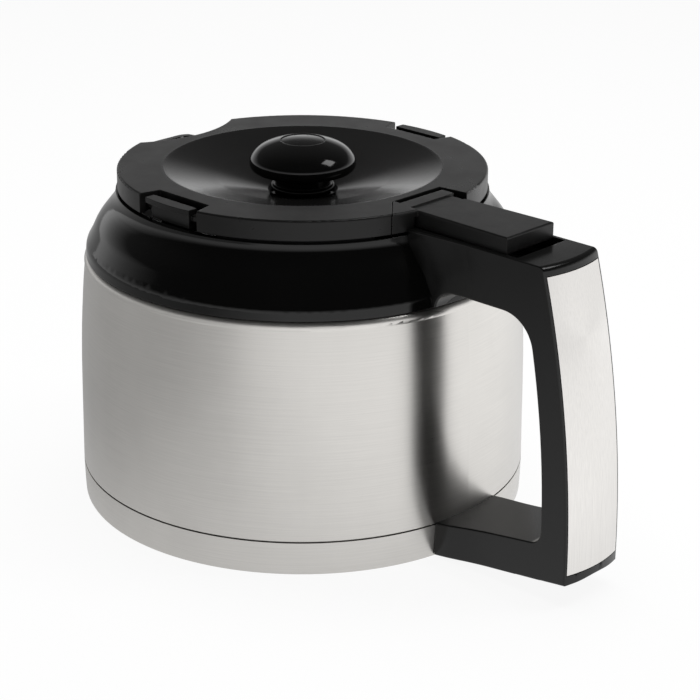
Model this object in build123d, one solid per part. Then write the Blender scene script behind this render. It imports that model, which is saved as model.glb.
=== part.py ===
from build123d import *

import os
from math import sqrt

os.makedirs("parts", exist_ok=True)

# Thermal carafe of a drip coffee machine. Millimetres, +Z up, z = 0 is the table.
# +X points to the handle, -X to the spout. Sizes with a plain number can be set by themselves.

SEAT = 0.02          # between round faces of pieces that are fixed to each other
FIT = 0.06           # radial clearance of a piece that turns or slides on a round one
PLAY = 0.3           # between pieces that pass each other

# Flask
BASE_R = 75.0
BASE_H = 11.3
GROOVE = 0.3
STEEL_T = 0.7
WALL_H = 72.3
WALL_TAPER = 2.8
VACUUM_GAP = 5.5
SHOULDER_H = 11.2
FLASK_Z = BASE_H + GROOVE
STEEL_TOP_Z = FLASK_Z + WALL_H
LIP_Z = STEEL_TOP_Z + SHOULDER_H

# Collar
NECK_R = 61.3
NECK_T = 2.3
LEDGE_W = 7.0
LEDGE_T = 2.0
NECK_DEPTH = 6.8
GASKET_T = 1.2
COLLAR_BAND_H = 2.3
COLLAR_SETBACK = 3.3
SPOUT_REACH = 5.7
SPOUT_LIP_H = 2.4
NECK_BORE_R = NECK_R - NECK_T
MOUTH_R = NECK_BORE_R - LEDGE_W
COLLAR_Z = STEEL_TOP_Z + 0.2
COLLAR_R = BASE_R - COLLAR_SETBACK
FLANGE_Z = LIP_Z + GASKET_T
LEDGE_Z = FLANGE_Z + LEDGE_T
RIM_Z = LEDGE_Z + NECK_DEPTH

# Lid
SKIRT_GAP = 0.9
SKIRT_H = 6.4
LID_T = 2.2
LIP_W = 15.0
DISH_DEPTH = 3.9
SCALLOP_R = 38.3
SCALLOP_DEPTH = 10.7
NOTCH_DEPTH = 8.5
NOTCH_HALF_W = 11.4
PLUG_DEPTH = 25.3
PLUG_T = 1.8
TRAY_T = 1.7
CUP_FLOOR_T = 1.8
SEAL_H = 3.0
LID_R = NECK_R - 0.6
LID_BORE_R = LID_R - LID_T
DISH_R = LID_R - LIP_W
SKIRT_Z = RIM_Z + SKIRT_GAP
LID_TOP_Z = SKIRT_Z + SKIRT_H
LID_UNDER_Z = LID_TOP_Z - LID_T
TRAY_R = NECK_BORE_R - 2 * PLAY
TRAY_Z = LEDGE_Z + TRAY_T
PLUG_R = MOUTH_R - 1.5
PLUG_Z = LEDGE_Z - PLUG_DEPTH
CUP_Z = PLUG_Z + CUP_FLOOR_T
SEAL_Z = LEDGE_Z - 10.3
RAIL_R = TRAY_R - 1.4

# Knob and brew tube
KNOB_R = 17.5
KNOB_DOME_H = 8.2
STEM_R = 9.1
RIDGE = 1.6
DISC_R = 7.2
TUBE_R = 6.0
TUBE_T = 1.2
KNOB_RIM_Z = LID_TOP_Z + 0.7
KNOB_TOP_Z = KNOB_RIM_Z + KNOB_DOME_H
MOAT_R = STEM_R + 2.4
CREASE = (DISH_R - 17.1, LID_TOP_Z - DISH_DEPTH)
DISH_FOOT = (MOAT_R, CREASE[1] - 0.254 * (CREASE[0] - MOAT_R))
TUBE_FLANGE_Z = DISH_FOOT[1] - 2.85
STEM_Z = TUBE_FLANGE_Z + 1.0
RIDGE_Z = STEM_Z + 2.8
BOSS_R = STEM_R + 0.1
BOSS_Z = TUBE_FLANGE_Z - 3.3

# Handle
REACH = 49.7
ARM_HALF_W = 13.1
ROOT_HALF_W = 14.5
ARM_H = 17.0
GRIP_BEND_R = 350.0
GRIP_T = 9.9
PALM_R = 295.0
BULGE_R = 45.0
BULGE = 1.9
TRIM_HALF_W = 12.1
TRIM_T = 1.2
TRIM_PROUD = 0.05
TRIM_GAP = 0.25
BROW_R = 1.8
CORNER_R = 0.5
TROUGH_DEPTH = 5.1
SCREW_R = 1.5
SCREW_HEAD_R = 2.9
TONGUE_HALF_W = 8.6
TONGUE_H = 5.0
DECK_Z = LID_TOP_Z - 5.4
ARM_UNDER_Z = DECK_Z - ARM_H
TROUGH_Z = DECK_Z - TROUGH_DEPTH
HANDLE_X = BASE_R + REACH
GRIP_BEND = (HANDLE_X - GRIP_BEND_R, BASE_H - 0.3)
BULGE_X = HANDLE_X + BULGE - BULGE_R
TRIM_Z = (GRIP_BEND[1], DECK_Z - 3.0)
TONGUE_Z = 4.0
FOOT_SCREW_X = BASE_R - 15.0
ARM_SCREW_X = NECK_R + 4.7
ARM_SCREW_Y = 6.5

# Lever and valve
PIN_R = 1.5
HEAD_W = 4.9
LEVER_T = 5.2
LEVER_HALF_W = 11.0
LEVER_REACH = 21.0
FORK_GAP = 9.3
FORK_T = 2.7
LUG_T = 2.0
NUB_R = 1.5
VALVE_PLATE_R = 23.0
VALVE_H = 9.3
SEAL_T = 1.2
PORT_R = (9.8, 20.5)
PIVOT = (LID_R - 8.0, LID_TOP_Z - 5.9)
HEAD_X = (LID_R - 4.3 - HEAD_W, LID_R - 4.3)
SLOT_X = HEAD_X[0] - 2.7
LEVER_TOP_Z = LID_TOP_Z - 0.4
LEVER_UNDER_Z = LEVER_TOP_Z - LEVER_T
LEVER_END_X = BASE_R + LEVER_REACH
TROUGH_END_X = LEVER_END_X + 4.5
TROUGH_HALF_W = LEVER_HALF_W + 0.4
FORK_OUT = FORK_GAP + FORK_T
LUG_Y = (FORK_OUT + PLAY, FORK_OUT + PLAY + LUG_T)
VALVE_Z = CUP_Z + SEAL_T
VALVE_FLANGE_Z = CUP_Z + VALVE_H
VALVE_FLANGE_R = FORK_OUT + 1.0

# Catches
CATCH_HALF_W = 9.9
CATCH_DEPTH = 4.3
CATCH_TRAVEL = 2.5
CATCH_Y = LID_R - 0.3 - CATCH_DEPTH
CATCH_TOP_Z = LID_TOP_Z - 0.4
CATCH_FOOT_HALF_W = 6.9
CATCH_WEB_Y = CATCH_Y - 0.9
STOP_Y = CATCH_Y - 3.0
POST_Y = PLUG_R - 0.2
CATCH_SPRING_Z = TRAY_Z + 4.4


def turned(points):
    return revolve(Plane.XZ * make_face(Polyline(*points, close=True)), Axis.Z)


def ring(outer, inner, z0, z1):
    return turned([(inner, z0), (outer, z0), (outer, z1), (inner, z1)])


def rod(radius, z0, z1):
    return Pos(0, 0, z0) * extrude(Circle(radius), z1 - z0)


def block(x0, x1, y0, y1, z0, z1):
    return Pos((x0 + x1) / 2, (y0 + y1) / 2, (z0 + z1) / 2) * Box(abs(x1 - x0), abs(y1 - y0), z1 - z0)


def cross_rod(centre, radius, y0, y1):
    return Pos(centre[0], max(y0, y1), centre[1]) * extrude(Plane.XZ * Circle(radius), abs(y1 - y0))


def slab_y(points, y0, y1):
    face = Plane.XZ * make_face(Polyline(*points, close=True))
    return Pos(0, max(y0, y1), 0) * extrude(face, abs(y1 - y0))


def slab_z(points, z0, z1):
    return Pos(0, 0, z0) * extrude(make_face(Polyline(*points, close=True)), z1 - z0)


def sector(inner, outer, start, end, z0, z1):
    corners = [(inner, z0), (outer, z0), (outer, z1), (inner, z1)]
    face = Plane.XZ * make_face(Polyline(*corners, close=True))
    return Rot(0, 0, start) * revolve(face, Axis.Z, revolution_arc=end - start)


def coil(radius, wire, length, turns):
    rise = length - 2 * wire
    print("coil gap", round(rise / turns - 2 * wire, 2))
    path = Pos(0, 0, wire) * Helix(pitch=rise / turns, height=rise, radius=radius)
    return sweep(Plane(origin=path @ 0, z_dir=path % 0) * Circle(wire), path=path)


# Flask: two steel cups joined at the mouth

SHOULDER_FOOT = (COLLAR_R - 0.8, STEEL_TOP_Z)
SHOULDER_TOP = (MOUTH_R + 4.2, LIP_Z - 4.4)
THROAT = (MOUTH_R + 2.6, LIP_Z - 2.8)


def wall_point(drop, share, inset):
    low, high = FLASK_Z + 0.5, STEEL_TOP_Z - 2.9
    return (BASE_R - inset - drop * WALL_TAPER, low + share * (high - low))


def flask_solid(inset):
    top_r = BASE_R - WALL_TAPER - inset
    wall = Spline(*[wall_point(drop, share, inset)
                    for drop, share in ((0, 0), (0.107, 0.28), (0.25, 0.574), (0.571, 0.809), (1, 1))])
    roll = ThreePointArc(wall @ 1, (top_r - 0.35, STEEL_TOP_Z - 0.7 - inset / 2),
                         (SHOULDER_FOOT[0] - inset, STEEL_TOP_Z - inset))
    corner = ThreePointArc((BASE_R - 0.5 - inset, FLASK_Z + inset),
                           (BASE_R - 0.15 - inset, FLASK_Z + 0.15 + inset), wall @ 0)
    rest = Polyline(roll @ 1, (SHOULDER_TOP[0] - inset, SHOULDER_TOP[1] - inset),
                    (THROAT[0] - inset, THROAT[1] - inset), (THROAT[0] - inset, LIP_Z - STEEL_T),
                    (0, LIP_Z - STEEL_T), (0, FLASK_Z + inset), corner @ 0)
    return revolve(Plane.XZ * make_face([wall, roll, rest, corner]), Axis.Z)


def make_outer_shell():
    return flask_solid(0) - flask_solid(STEEL_T) - rod(THROAT[0] - STEEL_T, THROAT[1] - 2, LIP_Z)


def vessel_solid(inset):
    neck_r = MOUTH_R + STEEL_T - inset
    side_r = BASE_R - VACUUM_GAP - inset
    floor_z = FLASK_Z + 4.3 + inset
    shoulder = Spline((side_r, LIP_Z - 23.1), ((side_r + neck_r) / 2 + 0.9, LIP_Z - 13.9 - inset),
                      (neck_r, LIP_Z - 6.6), tangents=[(0, 1), (0, 1)])
    corner = ThreePointArc((side_r - 7, floor_z), (side_r - 2.05, floor_z + 2.05), (side_r, floor_z + 7))
    side = Line(corner @ 1, shoulder @ 0)
    rest = Polyline(shoulder @ 1, (neck_r, LIP_Z), (0, LIP_Z), (0, floor_z), corner @ 0)
    return revolve(Plane.XZ * make_face([corner, side, shoulder, rest]), Axis.Z)


def make_inner_vessel():
    return vessel_solid(0) - vessel_solid(STEEL_T) + ring(THROAT[0], MOUTH_R, LIP_Z - STEEL_T, LIP_Z)


# Base

RING_FLANGE_Z = BASE_H - STEEL_T
COVER_R = BASE_R - 1.8
PAD_R = 26.0


def make_base_ring():
    side = ThreePointArc((BASE_R, BASE_H), (BASE_R - 0.1, BASE_H / 2), (BASE_R - 0.3, 0.9))
    roll = ThreePointArc(side @ 1, (BASE_R - 0.5, 0.33), (BASE_R - 1.0, 0.1))
    inner = Polyline(roll @ 1, (COVER_R + 0.2, 0.1), (COVER_R + 0.2, 0.85), (BASE_R - 1.15, 1.6),
                     (BASE_R - STEEL_T, RING_FLANGE_Z), (BASE_R - 3, RING_FLANGE_Z), (BASE_R - 3, BASE_H),
                     side @ 0)
    band = revolve(Plane.XZ * make_face([side, roll, inner]), Axis.Z)
    half = TONGUE_HALF_W + PLAY
    return band - block(BASE_R - 10, BASE_R + 5, -half, half, TONGUE_Z - PLAY, TONGUE_Z + TONGUE_H + PLAY)


def make_base_cover():
    foot_r = BASE_R - 9
    body = turned([(0, 0), (PAD_R, 0), (PAD_R + 2, 1.5), (foot_r - 2, 1.5), (foot_r, 0), (COVER_R, 0),
                   (COVER_R, RING_FLANGE_Z), (BASE_R - 3.2, RING_FLANGE_Z), (BASE_R - 3.2, FLASK_Z),
                   (0, FLASK_Z)])
    body -= ring(BASE_R - 6.5, 14.0, TONGUE_Z, FLASK_Z + 5)
    half = TONGUE_HALF_W + PLAY
    body += block(FOOT_SCREW_X - 8, BASE_R - 5, -half - 2.7, half + 2.7, TONGUE_Z - 1, FLASK_Z)
    body -= block(FOOT_SCREW_X - 4 - PLAY, BASE_R + 5, -half, half, TONGUE_Z, TONGUE_Z + TONGUE_H + PLAY)
    return body - Pos(FOOT_SCREW_X, 0, 0) * rod(SCREW_R + 0.1, 0, FLASK_Z + 1)


def make_foot_screw():
    head = rod(SCREW_HEAD_R + 0.3, 0.3, 1.5)
    driver = block(-2.4, 2.4, -0.4, 0.4, 0, 0.9) + block(-0.4, 0.4, -2.4, 2.4, 0, 0.9)
    return Pos(FOOT_SCREW_X, 0, 0) * (head + rod(SCREW_R, 1.4, TONGUE_Z + TONGUE_H - 0.8) - driver)


# Collar with neck and spout

def collar_solid(grow):
    rise = RIM_Z - COLLAR_Z - COLLAR_BAND_H
    flare = COLLAR_R - 0.2 - NECK_R
    foot = (COLLAR_R - 0.2 + grow, COLLAR_Z + COLLAR_BAND_H)
    points = [(NECK_R + flare * out + grow, foot[1] + rise * up)
              for out, up in ((0.882, 0.15), (0.706, 0.353), (0.441, 0.567), (0.137, 0.781))]
    shoulder = Spline(foot, *points, (NECK_R + grow, RIM_Z), tangents=[(-0.1, 1), (-0.1, 1)])
    rest = Polyline((NECK_R + grow, RIM_Z), (0, RIM_Z), (0, COLLAR_Z), (COLLAR_R + grow, COLLAR_Z), foot)
    return revolve(Plane.XZ * make_face([shoulder, rest]), Axis.Z)


def spout_section(tip, tip_half, root_half, z, nose):
    root = NECK_R - 13.3
    corners = [(-root, root_half), (-tip, tip_half), (-tip, -tip_half), (-root, -root_half)]
    outline = make_face(Polyline(*corners, close=True))
    return Pos(0, 0, z) * fillet(outline.vertices().group_by(Axis.X)[0], nose)


def make_collar():
    tip = NECK_R + SPOUT_REACH
    low_z, high_z = COLLAR_Z + 9.9, RIM_Z + 3.4
    spout = loft([spout_section(NECK_R + 0.7, 4.5, 22.0, low_z, 4.0),
                  spout_section(tip + 0.5, 7.5, 30.0, high_z, 6.0)])
    mouth = loft([spout_section(NECK_BORE_R - 0.5, 3.5, 17.0, LEDGE_Z + 0.3, 3.0),
                  spout_section(tip - 1.3, 6.5, 27.6, high_z, 5.0)])
    lip_z = RIM_Z + SPOUT_LIP_H
    falls = [(-40, lip_z + 20), (-40, RIM_Z), (-19, RIM_Z), (-9, lip_z),
             (9, lip_z), (19, RIM_Z), (40, RIM_Z), (40, lip_z + 20)]
    over = Pos(-tip - 20, 0, 0) * extrude(Plane.YZ * make_face(Polyline(*falls, close=True)), 60)
    throat_r = THROAT[0] + PLAY
    hollow = turned([(0, 0), (BASE_R + 5, 0), (BASE_R + 5, COLLAR_Z), (SHOULDER_FOOT[0] + 0.1, COLLAR_Z),
                     (SHOULDER_TOP[0] + 0.1, SHOULDER_TOP[1] + 0.2), (throat_r, THROAT[1] + 0.1),
                     (throat_r, FLANGE_Z), (MOUTH_R, FLANGE_Z), (MOUTH_R, LEDGE_Z), (NECK_BORE_R, LEDGE_Z),
                     (NECK_BORE_R, RIM_Z + 20), (0, RIM_Z + 20)])
    channel = mouth - rod(MOUTH_R, 0, RIM_Z + 20)
    return collar_solid(0) + (spout - over) - hollow - channel - arm_screw_holes()


def make_collar_gasket():
    return ring(THROAT[0] - 0.1, MOUTH_R + PLAY, LIP_Z, FLANGE_Z)


# Handle

def bend_x(z, out):
    return GRIP_BEND[0] + sqrt((GRIP_BEND_R + out) ** 2 - (z - GRIP_BEND[1]) ** 2)


def palm_x(z):
    return HANDLE_X - GRIP_T - PALM_R + sqrt(PALM_R ** 2 - (z - GRIP_BEND[1] - 9) ** 2)


def bulge_x(radius, y):
    return BULGE_X + sqrt(radius ** 2 - y ** 2)


def bulged_strip(outer, inner, half_w):
    front_x, back_x = bulge_x(outer, half_w), bulge_x(inner, half_w)
    front = ThreePointArc((front_x, -half_w), (bulge_x(outer, 0), 0), (front_x, half_w))
    back = ThreePointArc((back_x, half_w), (bulge_x(inner, 0), 0), (back_x, -half_w))
    return make_face([front, Line(front @ 1, back @ 0), back, Line(back @ 1, front @ 0)])


def bent(face):
    axis = Axis((GRIP_BEND[0], 0, GRIP_BEND[1]), (0, -1, 0))
    turn = Pos(GRIP_BEND[0], 0, GRIP_BEND[1]) * Rot(0, 4, 0) * Pos(-GRIP_BEND[0], 0, -GRIP_BEND[1])
    return revolve(turn * (Pos(0, 0, GRIP_BEND[1]) * face), axis, revolution_arc=24)


def make_handle_trim():
    strip = bent(bulged_strip(BULGE_R, BULGE_R - TRIM_T, TRIM_HALF_W))
    return strip & block(BASE_R, HANDLE_X + 20, -20, 20, *TRIM_Z)


def arm_screw_spots():
    return [Pos(ARM_SCREW_X, side * ARM_SCREW_Y, 0) for side in (-1, 1)]


def arm_screw_holes():
    return [spot * rod(SCREW_R + SEAT, TROUGH_Z - 12.9, TROUGH_Z + 20) for spot in arm_screw_spots()]


def sunk_head(grow, top):
    return turned([(0, TROUGH_Z - 1.6 - grow), (SCREW_R + grow, TROUGH_Z - 1.6 - grow),
                   (SCREW_HEAD_R + grow, TROUGH_Z - 0.2 - grow), (SCREW_HEAD_R + grow, top), (0, top)])


def make_handle_screws():
    driver = block(-1.9, 1.9, -0.35, 0.35, TROUGH_Z - 0.9, TROUGH_Z) + block(
        -0.35, 0.35, -1.9, 1.9, TROUGH_Z - 0.9, TROUGH_Z)
    screw = sunk_head(0, TROUGH_Z) + rod(SCREW_R, TROUGH_Z - 12.4, TROUGH_Z - 1.5) - driver
    return [spot * screw for spot in arm_screw_spots()]


def corner_fillet(face, corner, radius):
    return fillet(face.vertices().sort_by_distance((*corner, 0))[0], radius)


def handle_side():
    out = BULGE + 0.1
    heel_z = TRIM_Z[0] - 3.1
    brow, heel = (bend_x(DECK_Z, out), DECK_Z), (bend_x(heel_z, out), heel_z)
    toe = (palm_x(GRIP_BEND[1] + 7.6), GRIP_BEND[1] + 7.6)
    pit = (palm_x(ARM_UNDER_Z), ARM_UNDER_Z)
    root = (BASE_R + 2.5, ARM_UNDER_Z)
    knee = (BASE_R - 3.8, ARM_UNDER_Z - 5.6)
    middle = (DECK_Z + heel_z) / 2
    side = make_face([
        Line((NECK_R - 3.3, DECK_Z), brow),
        ThreePointArc(brow, (bend_x(middle, out), middle), heel),
        ThreePointArc(heel, (BASE_R + 24.2, 3.9), (BASE_R - 5, 0.2)),
        Line((BASE_R - 5, 0.2), (BASE_R - 5, BASE_H + 0.1)),
        Line((BASE_R - 5, BASE_H + 0.1), toe),
        ThreePointArc(toe, (palm_x(middle), middle), pit),
        Line(pit, root),
        ThreePointArc(root, (BASE_R - 1.8, ARM_UNDER_Z - 1.6), knee),
        Polyline(knee, (NECK_R - 3.3, knee[1]), (NECK_R - 3.3, DECK_Z)),
    ])
    side = corner_fillet(side, heel, 1.2)
    side = corner_fillet(side, toe, 4.5)
    return corner_fillet(side, pit, 12.0)


def handle_plan():
    face_r = BULGE_R - TRIM_PROUD
    edge_x = bulge_x(face_r, ARM_HALF_W)
    edges = [ThreePointArc((edge_x, ARM_HALF_W), (bulge_x(face_r, 0), 0), (edge_x, -ARM_HALF_W)),
             Line((BASE_R - 15, ROOT_HALF_W), (BASE_R - 15, -ROOT_HALF_W))]
    for side in (-1, 1):
        narrow, wide = side * ARM_HALF_W, side * ROOT_HALF_W
        flare = [(BASE_R + 21, narrow), (BASE_R + 11, narrow * 0.667 + wide * 0.333), (BASE_R - 1, wide)]
        edges += [Line((edge_x, narrow), flare[0]),
                  Spline(*flare, tangents=[(-1, 0), (-1, 0)]),
                  Line(flare[2], (BASE_R - 15, wide))]
    return make_face(edges)


def rounded_grip(frame):
    brow = [edge for edge in frame.edges() if edge.center().Z > DECK_Z - SEAT
            and edge.center().X > TROUGH_END_X]
    frame = fillet(brow, BROW_R)
    corners = [edge for edge in frame.edges() if abs(abs(edge.center().Y) - ARM_HALF_W) < SEAT
               and edge.center().X > HANDLE_X - GRIP_T - 5 and edge.center().Z < DECK_Z - SEAT]
    return fillet(corners, CORNER_R)


def make_handle_frame():
    frame = rounded_grip(Pos(0, 20, 0) * extrude(Plane.XZ * handle_side(), 40) & bent(handle_plan()))
    frame -= block(NECK_R - 12, TROUGH_END_X, -TROUGH_HALF_W, TROUGH_HALF_W, TROUGH_Z, DECK_Z + 20)
    pocket = bent(bulged_strip(BULGE_R + 3, BULGE_R - TRIM_T - SEAT, TRIM_HALF_W + TRIM_GAP))
    frame -= pocket & block(BASE_R, HANDLE_X + 20, -20, 20, TRIM_Z[0] - TRIM_GAP, TRIM_Z[1] + TRIM_GAP)
    frame -= collar_solid(SEAT) + rod(NECK_R + SEAT, LEDGE_Z + 2, DECK_Z + 20)
    frame -= rod(BASE_R + SEAT, -1, BASE_H + 9)
    frame += block(FOOT_SCREW_X - 4, BASE_R + 3, -TONGUE_HALF_W, TONGUE_HALF_W,
                   TONGUE_Z, TONGUE_Z + TONGUE_H)
    frame -= Pos(FOOT_SCREW_X, 0, 0) * rod(SCREW_R + SEAT, 0, BASE_H + 1)
    return frame - arm_screw_holes() - [spot * sunk_head(SEAT, TROUGH_Z + 1) for spot in arm_screw_spots()]


# Lid

def lid_outline(low):
    edge = ThreePointArc((LID_R, LID_TOP_Z - 0.7), (LID_R - 0.205, LID_TOP_Z - 0.205),
                         (LID_R - 0.7, LID_TOP_Z))
    rest = Polyline(edge @ 1, (0, LID_TOP_Z), (0, low), (LID_R, low), edge @ 0)
    return revolve(Plane.XZ * make_face([edge, rest]), Axis.Z)


def notch(side):
    inner, outer = LID_R - NOTCH_DEPTH, LID_R + 2.8
    wide = NOTCH_HALF_W + 2.9
    points = [(-NOTCH_HALF_W, inner), (NOTCH_HALF_W, inner), (wide, outer), (-wide, outer)]
    return Rot(0, 0, side) * slab_z(points, TRAY_Z, LID_TOP_Z + 8)


def wing_edge(shift):
    return [(SLOT_X + shift, -9.8 + 0.27 * shift), (LID_R + 5.3, -29.1 + 1.35 * shift)]


def make_lid_cover():
    dish = turned([(0, LID_TOP_Z + 8), (DISH_R, LID_TOP_Z + 8), (DISH_R, LID_TOP_Z), CREASE, DISH_FOOT,
                   (MOAT_R, STEM_Z + 0.3), (BOSS_R, STEM_Z + 0.3), (BOSS_R, TUBE_FLANGE_Z),
                   (0, TUBE_FLANGE_Z)])
    under = turned([(BOSS_R, BOSS_Z - 8), (BOSS_R, TUBE_FLANGE_Z - 0.9), (MOAT_R, TUBE_FLANGE_Z - 0.9),
                    (MOAT_R + 1.1, DISH_FOOT[1] - LID_T), (CREASE[0], CREASE[1] - LID_T - 0.05),
                    (DISH_R + 0.4, LID_UNDER_Z), (LID_BORE_R, LID_UNDER_Z), (LID_BORE_R, BOSS_Z - 8)])
    cover = lid_outline(SKIRT_Z) + rod(DISH_R + 2, BOSS_Z, LID_UNDER_Z) - dish - under
    cover -= rod(TUBE_R + SEAT, BOSS_Z - 1, LID_TOP_Z)
    near, far = wing_edge(0)
    side_y = FORK_OUT + 0.4
    slot = [near, (SLOT_X, side_y), (LID_R + 1.3, side_y + 1.5), (far[0], side_y + 1.5), far]
    cover -= slab_z(slot, TRAY_Z, LID_TOP_Z + 8)
    cover -= Pos(SCALLOP_DEPTH - LID_R - SCALLOP_R, 0, 0) * rod(SCALLOP_R, TRAY_Z, LID_TOP_Z + 8)
    cover = cover - notch(0) - notch(180)
    for start in (73.5, 103.5, 253.5, 283.5):
        cover += sector(LID_BORE_R - 2.3, LID_BORE_R + 0.1, start, start + 3, SKIRT_Z + 0.2, SKIRT_Z + 1.6)
    return cover


def make_catch_guides():
    half = CATCH_FOOT_HALF_W + PLAY
    guides = block(-4.5, 4.5, POST_Y - 1.4, POST_Y, TRAY_Z - 0.1, CATCH_SPRING_Z + 2.5)
    end_y, top_z = STOP_Y + 4.3, TRAY_Z + 3.2
    for side in (-1, 1):
        guides += block(side * half, side * (half + 1.8), STOP_Y, end_y, TRAY_Z - 0.1, top_z)
        guides += block(side * (half - 0.9), side * (half + 0.5), STOP_Y, end_y, top_z - 0.9, top_z)
    return guides


def make_lid_body():
    groove_r = PLUG_R - 0.6
    body = turned([(0, PLUG_Z), (PLUG_R - 1, PLUG_Z), (PLUG_R, PLUG_Z + 1), (PLUG_R, SEAL_Z),
                   (groove_r, SEAL_Z), (groove_r, SEAL_Z + SEAL_H), (PLUG_R, SEAL_Z + SEAL_H),
                   (PLUG_R, LEDGE_Z), (TRAY_R, LEDGE_Z), (TRAY_R, TRAY_Z), (0, TRAY_Z)])
    body -= rod(PLUG_R - PLUG_T, CUP_Z, TRAY_Z + 1)
    low, high = PLUG_Z - 9, CUP_Z + 9
    spokes = block(-30, 30, -1.6, 1.6, low, high) + block(-1.6, 1.6, -30, 30, low, high)
    body -= ring(PORT_R[1], PORT_R[0], low, high) - spokes
    body += rod(PORT_R[0] - 0.4, PLUG_Z - 1.5, PLUG_Z + 0.5)
    body -= rod(TUBE_R + SEAT, low, high)
    for start, end in ((23, 72), (108, 157), (203, 252), (288, 337)):
        body += sector(RAIL_R, RAIL_R + 1.3, start, end, TRAY_Z - 0.1, LID_UNDER_Z)
    for side in (-1, 1):
        near, far = side * LUG_Y[0], side * LUG_Y[1]
        body += block(PIVOT[0] - 2.5, PIVOT[0] + 2.5, near, far, TRAY_Z - 0.1, PIVOT[1])
        body += cross_rod(PIVOT, 2.5, near, far)
    body -= cross_rod(PIVOT, PIN_R + SEAT, -LUG_Y[1] - 1, LUG_Y[1] + 1)
    return body + make_catch_guides() + Rot(0, 0, 180) * make_catch_guides()


def make_lid_seal():
    inner, lip = PLUG_R - 0.6 + SEAT, MOUTH_R - 0.2
    low, high = SEAL_Z + SEAT, SEAL_Z + SEAL_H - SEAT
    return turned([(inner, low), (lip - 0.6, low), (lip, low + 0.6), (lip - 0.8, low + 1.3),
                   (lip - 0.8, high - 1.3), (lip, high - 0.6), (lip - 0.6, high), (inner, high)])


def make_brew_tube():
    tube = ring(TUBE_R, TUBE_R - TUBE_T, PLUG_Z - 3, STEM_Z)
    return tube + ring(STEM_R, TUBE_R - TUBE_T, TUBE_FLANGE_Z, STEM_Z)


def make_knob():
    edge = (KNOB_R, KNOB_RIM_Z)
    under = (STEM_R + 1.3, RIDGE_Z + 4.3)
    bore_r = STEM_R - 2.6
    brim = ThreePointArc(edge, (KNOB_R - 0.35, KNOB_RIM_Z - 1.6), (KNOB_R - 1.7, KNOB_RIM_Z - 2.6))
    throat = ThreePointArc(under, (STEM_R + 0.4, under[1] - 0.5), (STEM_R, under[1] - 1.4))
    ridge = ThreePointArc((STEM_R, RIDGE_Z + 0.7), (STEM_R + RIDGE, RIDGE_Z), (STEM_R, RIDGE_Z - 0.7))
    foot = Polyline(ridge @ 1, (STEM_R, STEM_Z), (bore_r, STEM_Z), (bore_r, RIDGE_Z + 3.4),
                    (0, RIDGE_Z + 4.7), (0, KNOB_TOP_Z))
    crown = [(KNOB_R * share, KNOB_RIM_Z + KNOB_DOME_H * sqrt(1 - share ** 2))
             for share in (0.35, 0.65, 0.87, 0.97)]
    dome = Spline((0, KNOB_TOP_Z), *crown, edge, tangents=[(1, 0), (0, -1)])
    side = [brim, Line(brim @ 1, under), throat, Line(throat @ 1, ridge @ 0), ridge]
    knob = revolve(Plane.XZ * make_face(side + [foot, dome]), Axis.Z)
    for turn in (30, 90, 150):
        knob -= Rot(0, 0, turn) * block(-STEM_R - 3, STEM_R + 3, -1.7, 1.7, STEM_Z + 0.5, RIDGE_Z - 0.8)
    return knob - rod(DISC_R + 0.15, KNOB_TOP_Z - 2.5, KNOB_TOP_Z + 9)


def make_knob_disc():
    top_r = KNOB_R ** 2 / KNOB_DOME_H
    ball = Pos(0, 0, KNOB_TOP_Z - 0.3 - top_r) * Sphere(top_r)
    return rod(DISC_R, KNOB_TOP_Z - 2.5, KNOB_TOP_Z + 9) & ball


# Lever and valve

def fork_arm(y0, y1):
    x, z = PIVOT
    nub = (0.0, VALVE_FLANGE_Z - 0.05 - NUB_R)
    elbow = VALVE_FLANGE_R - 1.0
    points = [(x + 2.3, z + 2.7), (x - 4, z + 2.5), (x - 7, z + 2.3), (x - 11, z + 0.9),
              (CREASE[0] - 0.6, CREASE[1] - 6.1), (elbow + 3.5, CREASE[1] - 11.1),
              (elbow + 0.3, VALVE_FLANGE_Z + 7.9), (elbow, nub[1] + 0.7), (0, nub[1] + 0.7),
              (0, nub[1] - NUB_R), (elbow, nub[1] - NUB_R - 0.2), (elbow + 5, nub[1] - 0.6),
              (elbow + 18, nub[1] + 8.9), (x - 8.5, z - 5.7), (x - 3, z - 4.3), (x + 2.3, z - 2.6)]
    return slab_y(points, y0, y1) + cross_rod(nub, NUB_R, y0, y1)


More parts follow.
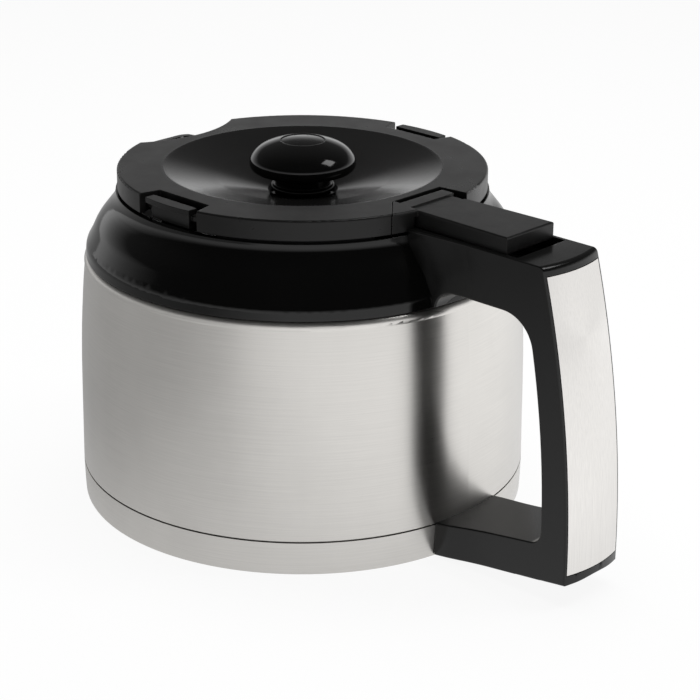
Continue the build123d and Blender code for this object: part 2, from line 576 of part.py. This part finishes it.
def make_thumb_lever():
    root = HEAD_X[1] - 0.5
    neck_side, bend_x = FORK_GAP - 0.2, LID_R + 0.6
    bar_plan = [(root, 1 - LEVER_HALF_W), (LEVER_END_X, -LEVER_HALF_W), (LEVER_END_X, LEVER_HALF_W),
                (bend_x + 1.2, LEVER_HALF_W - 0.8), (bend_x, neck_side), (root, neck_side)]
    bar = slab_z(bar_plan, LEVER_UNDER_Z, LEVER_TOP_Z)
    bar = fillet(bar.edges().group_by(Axis.Z)[-1].sort_by(Axis.X)[1:], 0.6)
    head = block(*HEAD_X, 1 - LEVER_HALF_W, LEVER_HALF_W - 0.5, SKIRT_Z, LID_TOP_Z)
    near, far = wing_edge(PLAY)
    side_y = 1 - LEVER_HALF_W
    back_x = HEAD_X[0] + 1
    wing_plan = [(back_x, -9.1), (near[0], -9.1), near, far, (far[0], side_y), (back_x, side_y)]
    wing = slab_z(wing_plan, LID_UNDER_Z, LID_TOP_Z + 8) & lid_outline(SKIRT_Z)
    fender = slab_z(wing_plan, SKIRT_Z, LID_TOP_Z + 8) & lid_outline(SKIRT_Z)
    fender &= block(LID_R - 12, LID_R + 9, -40, side_y - 1.4, SKIRT_Z, LID_TOP_Z + 8)
    lever = bar + head + wing + (fender - rod(LID_BORE_R, SKIRT_Z - 1, LID_TOP_Z + 8))
    for side in (-1, 1):
        lever += fork_arm(side * FORK_GAP, side * FORK_OUT)
    web_x, web_z = CREASE[0] + 2.9, CREASE[1] - 11.5
    lever += block(web_x, web_x + 4, -FORK_GAP - 1, FORK_GAP + 1, web_z, web_z + 5)
    return lever - cross_rod(PIVOT, PIN_R + FIT, -FORK_OUT - 1, FORK_OUT + 1)


def make_lever_pin():
    return cross_rod(PIVOT, PIN_R, -LUG_Y[1], LUG_Y[1])


def make_pour_valve():
    bore, hub = TUBE_R + FIT, TUBE_R + 2
    top_z = VALVE_FLANGE_Z + 1.5
    return turned([(bore, VALVE_Z), (VALVE_PLATE_R, VALVE_Z), (VALVE_PLATE_R, VALVE_Z + 1.5),
                   (hub + 2.5, VALVE_Z + 2.5), (hub, VALVE_Z + 4), (hub, VALVE_FLANGE_Z),
                   (VALVE_FLANGE_R, VALVE_FLANGE_Z), (VALVE_FLANGE_R, top_z), (hub - 0.9, top_z),
                   (hub - 0.9, top_z + 2), (bore, top_z + 2)])


def make_valve_seal():
    return ring(PORT_R[1] + 1.5, TUBE_R + 1.0, CUP_Z, VALVE_Z)


def make_valve_spring():
    low = VALVE_FLANGE_Z + 1.5
    return Pos(0, 0, low) * coil(TUBE_R + 2, 0.5, BOSS_Z - low, 5)


# Catches, drawn for the +Y side

def make_catch():
    foot_z = TRAY_Z + 0.1
    ear_z = SKIRT_Z + 1.9
    bar = block(-CATCH_HALF_W, CATCH_HALF_W, CATCH_Y, LID_R + 3, CATCH_TOP_Z - 1.7, CATCH_TOP_Z) & rod(
        LID_R - PLAY, SKIRT_Z, LID_TOP_Z)
    web = block(-8.5, 8.5, CATCH_Y, CATCH_Y + 2.1, RIM_Z + PLAY, CATCH_TOP_Z - 1.6)
    web += block(-5.9, 5.9, CATCH_WEB_Y, CATCH_WEB_Y + 1.3, foot_z, ear_z + 0.1)
    ears = block(-15.6, 15.6, CATCH_Y - 1.9, CATCH_Y + 1.1, ear_z, ear_z + 1.5)
    ears &= rod(LID_BORE_R - 0.5, SKIRT_Z, LID_TOP_Z)
    foot_half, foot_y, foot_top_z = CATCH_FOOT_HALF_W, STOP_Y - 1.5, foot_z + 1.9
    foot = block(-foot_half, foot_half, foot_y, CATCH_WEB_Y + 0.9, foot_z, foot_top_z)
    heel = block(-10.4, 10.4, foot_y, foot_y + 1.4, foot_z, foot_top_z)
    post_room = block(-5.0, 5.0, POST_Y - 2, POST_Y + CATCH_TRAVEL + 0.6, TRAY_Z - 1, ear_z)
    return bar + web + ears + (foot + heel - post_room)


def make_catch_spring():
    spring = coil(1.6, 0.3, CATCH_WEB_Y - POST_Y, 3)
    return Pos(0, POST_Y, CATCH_SPRING_Z) * Rot(-90, 0, 0) * spring


nodes = {
    "outer_shell": make_outer_shell(),
    "inner_vessel": make_inner_vessel(),
    "base_ring": make_base_ring(),
    "base_cover": make_base_cover(),
    "foot_screw": make_foot_screw(),
    "collar": make_collar(),
    "collar_gasket": make_collar_gasket(),
    "handle_frame": make_handle_frame(),
    "handle_trim": make_handle_trim(),
    "handle_screws": Compound(children=make_handle_screws()),
    "lid_cover": make_lid_cover(),
    "lid_body": make_lid_body(),
    "lid_seal": make_lid_seal(),
    "knob": make_knob(),
    "knob_disc": make_knob_disc(),
    "brew_tube": make_brew_tube(),
    "lever_pin": make_lever_pin(),
    "thumb_lever": make_thumb_lever(),
    "pour_valve": make_pour_valve(),
    "valve_seal": make_valve_seal(),
    "valve_spring": make_valve_spring(),
    "catch_left": make_catch(),
    "catch_right": Rot(0, 0, 180) * make_catch(),
    "catch_spring_left": make_catch_spring(),
    "catch_spring_right": Rot(0, 0, 180) * make_catch_spring(),
}

for name, shape in nodes.items():
    export_step(shape, f"parts/{name}.step")
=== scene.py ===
from math import radians
import bpy
from mathutils import Matrix, Vector

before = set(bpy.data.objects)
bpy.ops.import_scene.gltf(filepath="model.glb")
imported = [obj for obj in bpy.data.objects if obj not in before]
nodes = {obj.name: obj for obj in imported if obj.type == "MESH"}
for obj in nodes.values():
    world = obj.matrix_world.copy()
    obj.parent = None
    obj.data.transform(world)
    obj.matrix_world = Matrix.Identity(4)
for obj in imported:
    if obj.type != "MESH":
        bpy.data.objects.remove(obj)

FLOOR_HALF = 6.0
FLOOR_Z = -0.0002
BACKDROP_LEVEL = 1.07
GLOW_SHARE = 0.85
RIGHT = (0.966, 0.259, 0.0)
AWAY = (-0.688, 0.725, 0.0)
AIM = Vector((0, 0, 0.06))
DISH_RADIUS = 0.0455
DISH_SHINE = 0.45
BRUSH_LINES = 900.0
CAMERA_PLACE = (0.4690, -0.4711, 0.3101)
CAMERA_TURN = ((43.5, "Z"), (68.385, "X"), (0.42, "Z"))
CAMERA_LENS = 108.38

scene = bpy.context.scene
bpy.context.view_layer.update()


# Node helpers

def new_material(name):
    mat = bpy.data.materials.new(name)
    mat.use_nodes = True
    tree = mat.node_tree
    for node in list(tree.nodes):
        tree.nodes.remove(node)
    out = tree.nodes.new("ShaderNodeOutputMaterial")
    return mat, tree, out


def add(tree, kind, **values):
    node = tree.nodes.new(kind)
    for key, value in values.items():
        node.inputs[key].default_value = value
    return node


def math_node(tree, operation, a, b):
    node = tree.nodes.new("ShaderNodeMath")
    node.operation = operation
    for socket, value in zip(node.inputs, (a, b)):
        if isinstance(value, (int, float)):
            socket.default_value = value
        else:
            tree.links.new(value, socket)
    return node.outputs[0]


def vector_node(tree, operation, a, b=None, result="Vector"):
    node = tree.nodes.new("ShaderNodeVectorMath")
    node.operation = operation
    tree.links.new(a, node.inputs[0])
    if isinstance(b, tuple):
        node.inputs[1].default_value = b
    elif b is not None:
        tree.links.new(b, node.inputs[1])
    return node.outputs[result]


def height_of(tree, vector):
    split = tree.nodes.new("ShaderNodeSeparateXYZ")
    tree.links.new(vector, split.inputs[0])
    return split.outputs["Z"]


def noise(tree, vector, scale, detail=3.0, rough=0.5, stretch=(1, 1, 1)):
    mapping = add(tree, "ShaderNodeMapping", Scale=stretch)
    tree.links.new(vector, mapping.inputs["Vector"])
    node = add(tree, "ShaderNodeTexNoise", Scale=scale, Detail=detail, Roughness=rough)
    tree.links.new(mapping.outputs[0], node.inputs["Vector"])
    return node.outputs["Fac"]


def remap(tree, value, low, high, from_low=0.3, from_high=0.7):
    node = tree.nodes.new("ShaderNodeMapRange")
    node.inputs["From Min"].default_value = from_low
    node.inputs["From Max"].default_value = from_high
    node.inputs["To Min"].default_value = low
    node.inputs["To Max"].default_value = high
    tree.links.new(value, node.inputs["Value"])
    return node.outputs[0]


def tint(tree, fac, colour, spread):
    """The colour, darker and lighter by its spread as the factor rises."""
    ramp = tree.nodes.new("ShaderNodeValToRGB")
    dark, light = ramp.color_ramp.elements
    dark.position = 0.25
    light.position = 0.75
    dark.color = (*(c * (1 - spread) for c in colour), 1)
    light.color = (*(c * (1 + spread) for c in colour), 1)
    tree.links.new(fac, ramp.inputs[0])
    return ramp.outputs[0]


def bump(tree, height, distance, strength, before=None):
    node = add(tree, "ShaderNodeBump", Strength=strength, Distance=distance)
    tree.links.new(height, node.inputs["Height"])
    if before is not None:
        tree.links.new(before, node.inputs["Normal"])
    return node.outputs[0]


def blended(tree, a, share, b):
    rest = math_node(tree, "MULTIPLY", b, 1 - share)
    return math_node(tree, "ADD", math_node(tree, "MULTIPLY", a, share), rest)


def object_coords(tree):
    return tree.nodes.new("ShaderNodeTexCoord").outputs["Object"]


def soft_edges(tree, radius):
    """Normals rounded over the edges, and a mask that is 1 on them."""
    bevel = add(tree, "ShaderNodeBevel", Radius=radius)
    bevel.samples = 6
    normal = tree.nodes.new("ShaderNodeNewGeometry").outputs["Normal"]
    facing = vector_node(tree, "DOT_PRODUCT", bevel.outputs[0], normal, "Value")
    return bevel.outputs[0], remap(tree, facing, 1.0, 0.0, 0.75, 0.99)


# Materials

def plastic(name, colour, rough, grain, grain_scale, specular,
            worn=1.6, spread=0.12, smear=0.05, dish=False):
    """Moulded plastic with a fine grain, worn edges and wiped patches; a dish shines more."""
    mat, tree, out = new_material(name)
    shader = tree.nodes.new("ShaderNodeBsdfPrincipled")
    shader.inputs["Specular IOR Level"].default_value = specular
    coords = object_coords(tree)
    base = tint(tree, noise(tree, coords, 45, 4), colour, spread)
    rounded, on_edge = soft_edges(tree, 0.0003)
    patchy = remap(tree, noise(tree, coords, 160, 4, 0.6), 0.2, 1.0)
    wear = math_node(tree, "MULTIPLY", on_edge, patchy)
    blend = tree.nodes.new("ShaderNodeMix")
    blend.data_type = "RGBA"
    tree.links.new(wear, blend.inputs["Factor"])
    tree.links.new(base, blend.inputs[6])
    blend.inputs[7].default_value = (*(c * worn for c in colour), 1)
    tree.links.new(blend.outputs[2], shader.inputs["Base Color"])
    wiped = noise(tree, coords, 70, 6, 0.65, (1, 1, 1.6))
    level = remap(tree, wiped, rough - smear, rough + smear)
    if dish:
        radius = vector_node(tree, "LENGTH", vector_node(tree, "MULTIPLY", coords, (1, 1, 0)), result="Value")
        rim = remap(tree, radius, DISH_SHINE, 1.0, DISH_RADIUS - 0.001, DISH_RADIUS + 0.001)
        level = math_node(tree, "MULTIPLY", level, rim)
    tree.links.new(level, shader.inputs["Roughness"])
    fine = noise(tree, coords, grain_scale, 2)
    tree.links.new(bump(tree, fine, grain, 0.6, rounded), shader.inputs["Normal"])
    tree.links.new(shader.outputs[0], out.inputs[0])
    return mat


def turned_lines(tree, coords):
    """Coordinates that stay the same round the axis and run fast along it."""
    around = vector_node(tree, "NORMALIZE", vector_node(tree, "MULTIPLY", coords, (1, 1, 0)))
    lift = tree.nodes.new("ShaderNodeCombineXYZ")
    tree.links.new(math_node(tree, "MULTIPLY", height_of(tree, coords), BRUSH_LINES), lift.inputs["Z"])
    return vector_node(tree, "ADD", around, lift.outputs[0])


def steel_finish(name, colour, rough, aniso, streak, stretch=None):
    """Brushed steel: round the axis where it has no stretch, else along the stretched noise."""
    mat, tree, out = new_material(name)
    shader = add(tree, "ShaderNodeBsdfPrincipled", Metallic=1.0, Anisotropic=aniso)
    coords = object_coords(tree)
    if stretch is None:
        shader.inputs["Anisotropic Rotation"].default_value = 0.25
        lines = turned_lines(tree, coords)
        brushed = noise(tree, lines, 3.0, 8, 0.65)
        bands = noise(tree, lines, 3.5, 3, 0.5, (1, 1, 0.01))
        shade, dull, depth = blended(tree, brushed, 0.6, bands), blended(tree, brushed, 0.7, bands), 0.000004
    else:
        brushed = noise(tree, coords, 3.0, 6, 0.6, stretch)
        shade, dull, depth = brushed, brushed, 0.000003
    tree.links.new(tint(tree, shade, colour, streak), shader.inputs["Base Color"])
    tree.links.new(remap(tree, dull, rough - 0.05, rough + 0.05), shader.inputs["Roughness"])
    tangent = tree.nodes.new("ShaderNodeTangent")
    tangent.direction_type = "RADIAL"
    tangent.axis = "Z"
    tree.links.new(tangent.outputs[0], shader.inputs["Tangent"])
    tree.links.new(bump(tree, brushed, depth, 0.4), shader.inputs["Normal"])
    tree.links.new(shader.outputs[0], out.inputs[0])
    return mat


steel = steel_finish("brushed_shell", (0.64, 0.625, 0.60), 0.32, 0.75, 0.12)
liner = steel_finish("liner", (0.6, 0.6, 0.59), 0.25, 0.3, 0.05)
trim_steel = steel_finish("satin_trim", (0.69, 0.675, 0.655), 0.33, 0.5, 0.09, (900, 900, 6))
wire = steel_finish("drawn_wire", (0.5, 0.5, 0.5), 0.25, 0.0, 0.04, (400, 400, 400))
gloss = plastic("gloss_black", (0.003, 0.003, 0.0029), 0.09, 0.000003, 600, 0.32, 2.0, 0.1, 0.03)
half_gloss = plastic("half_gloss_black", (0.005, 0.005, 0.0048), 0.17, 0.000004, 1500, 0.30, 1.8)
satin = plastic("satin_black", (0.009, 0.0088, 0.0086), 0.33, 0.000008, 2500, 0.25)
lid_black = plastic("lid_black", (0.009, 0.0088, 0.0086), 0.31, 0.000006, 2500, 0.25, dish=True)
inside = plastic("inner_black", (0.02, 0.02, 0.02), 0.45, 0.00002, 1800, 0.4)
silicone = plastic("silicone", (0.35, 0.35, 0.33), 0.55, 0.00002, 900, 0.4, 1.1)

finish = {
    "outer_shell": steel, "base_ring": steel, "inner_vessel": liner, "handle_trim": trim_steel,
    "base_cover": inside, "lid_body": inside, "brew_tube": inside, "pour_valve": inside,
    "foot_screw": wire, "handle_screws": wire, "lever_pin": wire, "valve_spring": wire,
    "catch_spring_left": wire, "catch_spring_right": wire,
    "collar": gloss, "knob": gloss,
    "handle_frame": half_gloss, "lid_cover": lid_black, "knob_disc": half_gloss, "thumb_lever": satin,
    "catch_left": satin, "catch_right": satin,
    "collar_gasket": silicone, "lid_seal": silicone, "valve_seal": silicone,
}
for name, mat in finish.items():
    data = nodes[name].data
    data.materials.clear()
    data.materials.append(mat)


# Floor, backdrop and light: RIGHT is towards the picture's right, AWAY is away from the camera

def along(tree, vector, direction):
    return vector_node(tree, "DOT_PRODUCT", vector, direction, "Value")


def stage_material():
    """White where it is looked at, a shaded grey in mirrors, and a plain floor for light and shadow."""
    mat, tree, out = new_material("studio_white")
    path = tree.nodes.new("ShaderNodeLightPath")
    camera_ray = path.outputs["Is Camera Ray"]
    mirrored = math_node(tree, "MAXIMUM", path.outputs["Is Glossy Ray"], path.outputs["Is Transmission Ray"])
    falloff = remap(tree, along(tree, object_coords(tree), RIGHT), 0.42, 1.4, -0.14, 0.2)
    shown = math_node(tree, "MULTIPLY", camera_ray, BACKDROP_LEVEL)
    level = math_node(tree, "ADD", shown, math_node(tree, "MULTIPLY", mirrored, falloff))
    diffuse = add(tree, "ShaderNodeBsdfDiffuse", Color=(0.9, 0.9, 0.9, 1))
    glow = add(tree, "ShaderNodeEmission", Color=(1, 1, 1, 1))
    tree.links.new(level, glow.inputs["Strength"])
    mix = tree.nodes.new("ShaderNodeMixShader")
    seen = math_node(tree, "MAXIMUM", camera_ray, mirrored)
    tree.links.new(math_node(tree, "MULTIPLY", seen, GLOW_SHARE), mix.inputs[0])
    tree.links.new(diffuse.outputs[0], mix.inputs[1])
    tree.links.new(glow.outputs[0], mix.inputs[2])
    tree.links.new(mix.outputs[0], out.inputs[0])
    return mat


half = FLOOR_HALF
floor_data = bpy.data.meshes.new("floor")
floor_data.from_pydata([(-half, -half, 0), (half, -half, 0), (half, half, 0), (-half, half, 0)],
                       [], [(0, 1, 2, 3)])
floor = bpy.data.objects.new("floor", floor_data)
scene.collection.objects.link(floor)
floor_data.materials.append(stage_material())
floor.location.z = FLOOR_Z


def studio_world():
    """Bright near the horizon, more so to the right, and dim above."""
    world = bpy.data.worlds.new("studio")
    scene.world = world
    world.use_nodes = True
    tree = world.node_tree
    direction = tree.nodes.new("ShaderNodeTexCoord").outputs["Generated"]
    low = remap(tree, along(tree, direction, RIGHT), 0.9, 1.3, -0.8, 0.5)
    high = remap(tree, along(tree, direction, AWAY), 0.04, 0.10, -0.3, 0.5)
    climb = remap(tree, height_of(tree, direction), 0.0, 1.0, 0.08, 0.36)
    rise = math_node(tree, "MULTIPLY", math_node(tree, "SUBTRACT", high, low), climb)
    background = tree.nodes["Background"]
    tree.links.new(math_node(tree, "ADD", low, rise), background.inputs["Strength"])
    background.inputs["Color"].default_value = (1, 1, 1, 1)


studio_world()


def softbox(name, place, side, power, mirrored=True):
    """A square area lamp aimed at the jug's middle; mirrored says whether gloss shows it."""
    light = bpy.data.lights.new(name, "AREA")
    light.shape = "RECTANGLE"
    light.size = light.size_y = side
    light.energy = power
    lamp = bpy.data.objects.new(name, light)
    lamp.location = place
    lamp.rotation_euler = (AIM - Vector(place)).to_track_quat("-Z", "Y").to_euler()
    lamp.visible_glossy = mirrored
    scene.collection.objects.link(lamp)


softbox("top_box", (-0.1, 0.1, 0.95), 0.8, 5, mirrored=False)
softbox("right_box", (0.36, 0.34, 0.75), 0.25, 1.0)


# Camera

camera_data = bpy.data.cameras.new("camera")
camera_data.lens = CAMERA_LENS
camera_data.sensor_width = 36.0
camera_data.clip_start = 0.01
camera = bpy.data.objects.new("camera", camera_data)
placement = Matrix.Translation(CAMERA_PLACE)
for angle, axis in CAMERA_TURN:
    placement = placement @ Matrix.Rotation(radians(angle), 4, axis)
camera.matrix_world = placement
scene.collection.objects.link(camera)
scene.camera = camera
scene.view_settings.view_transform = "Standard"
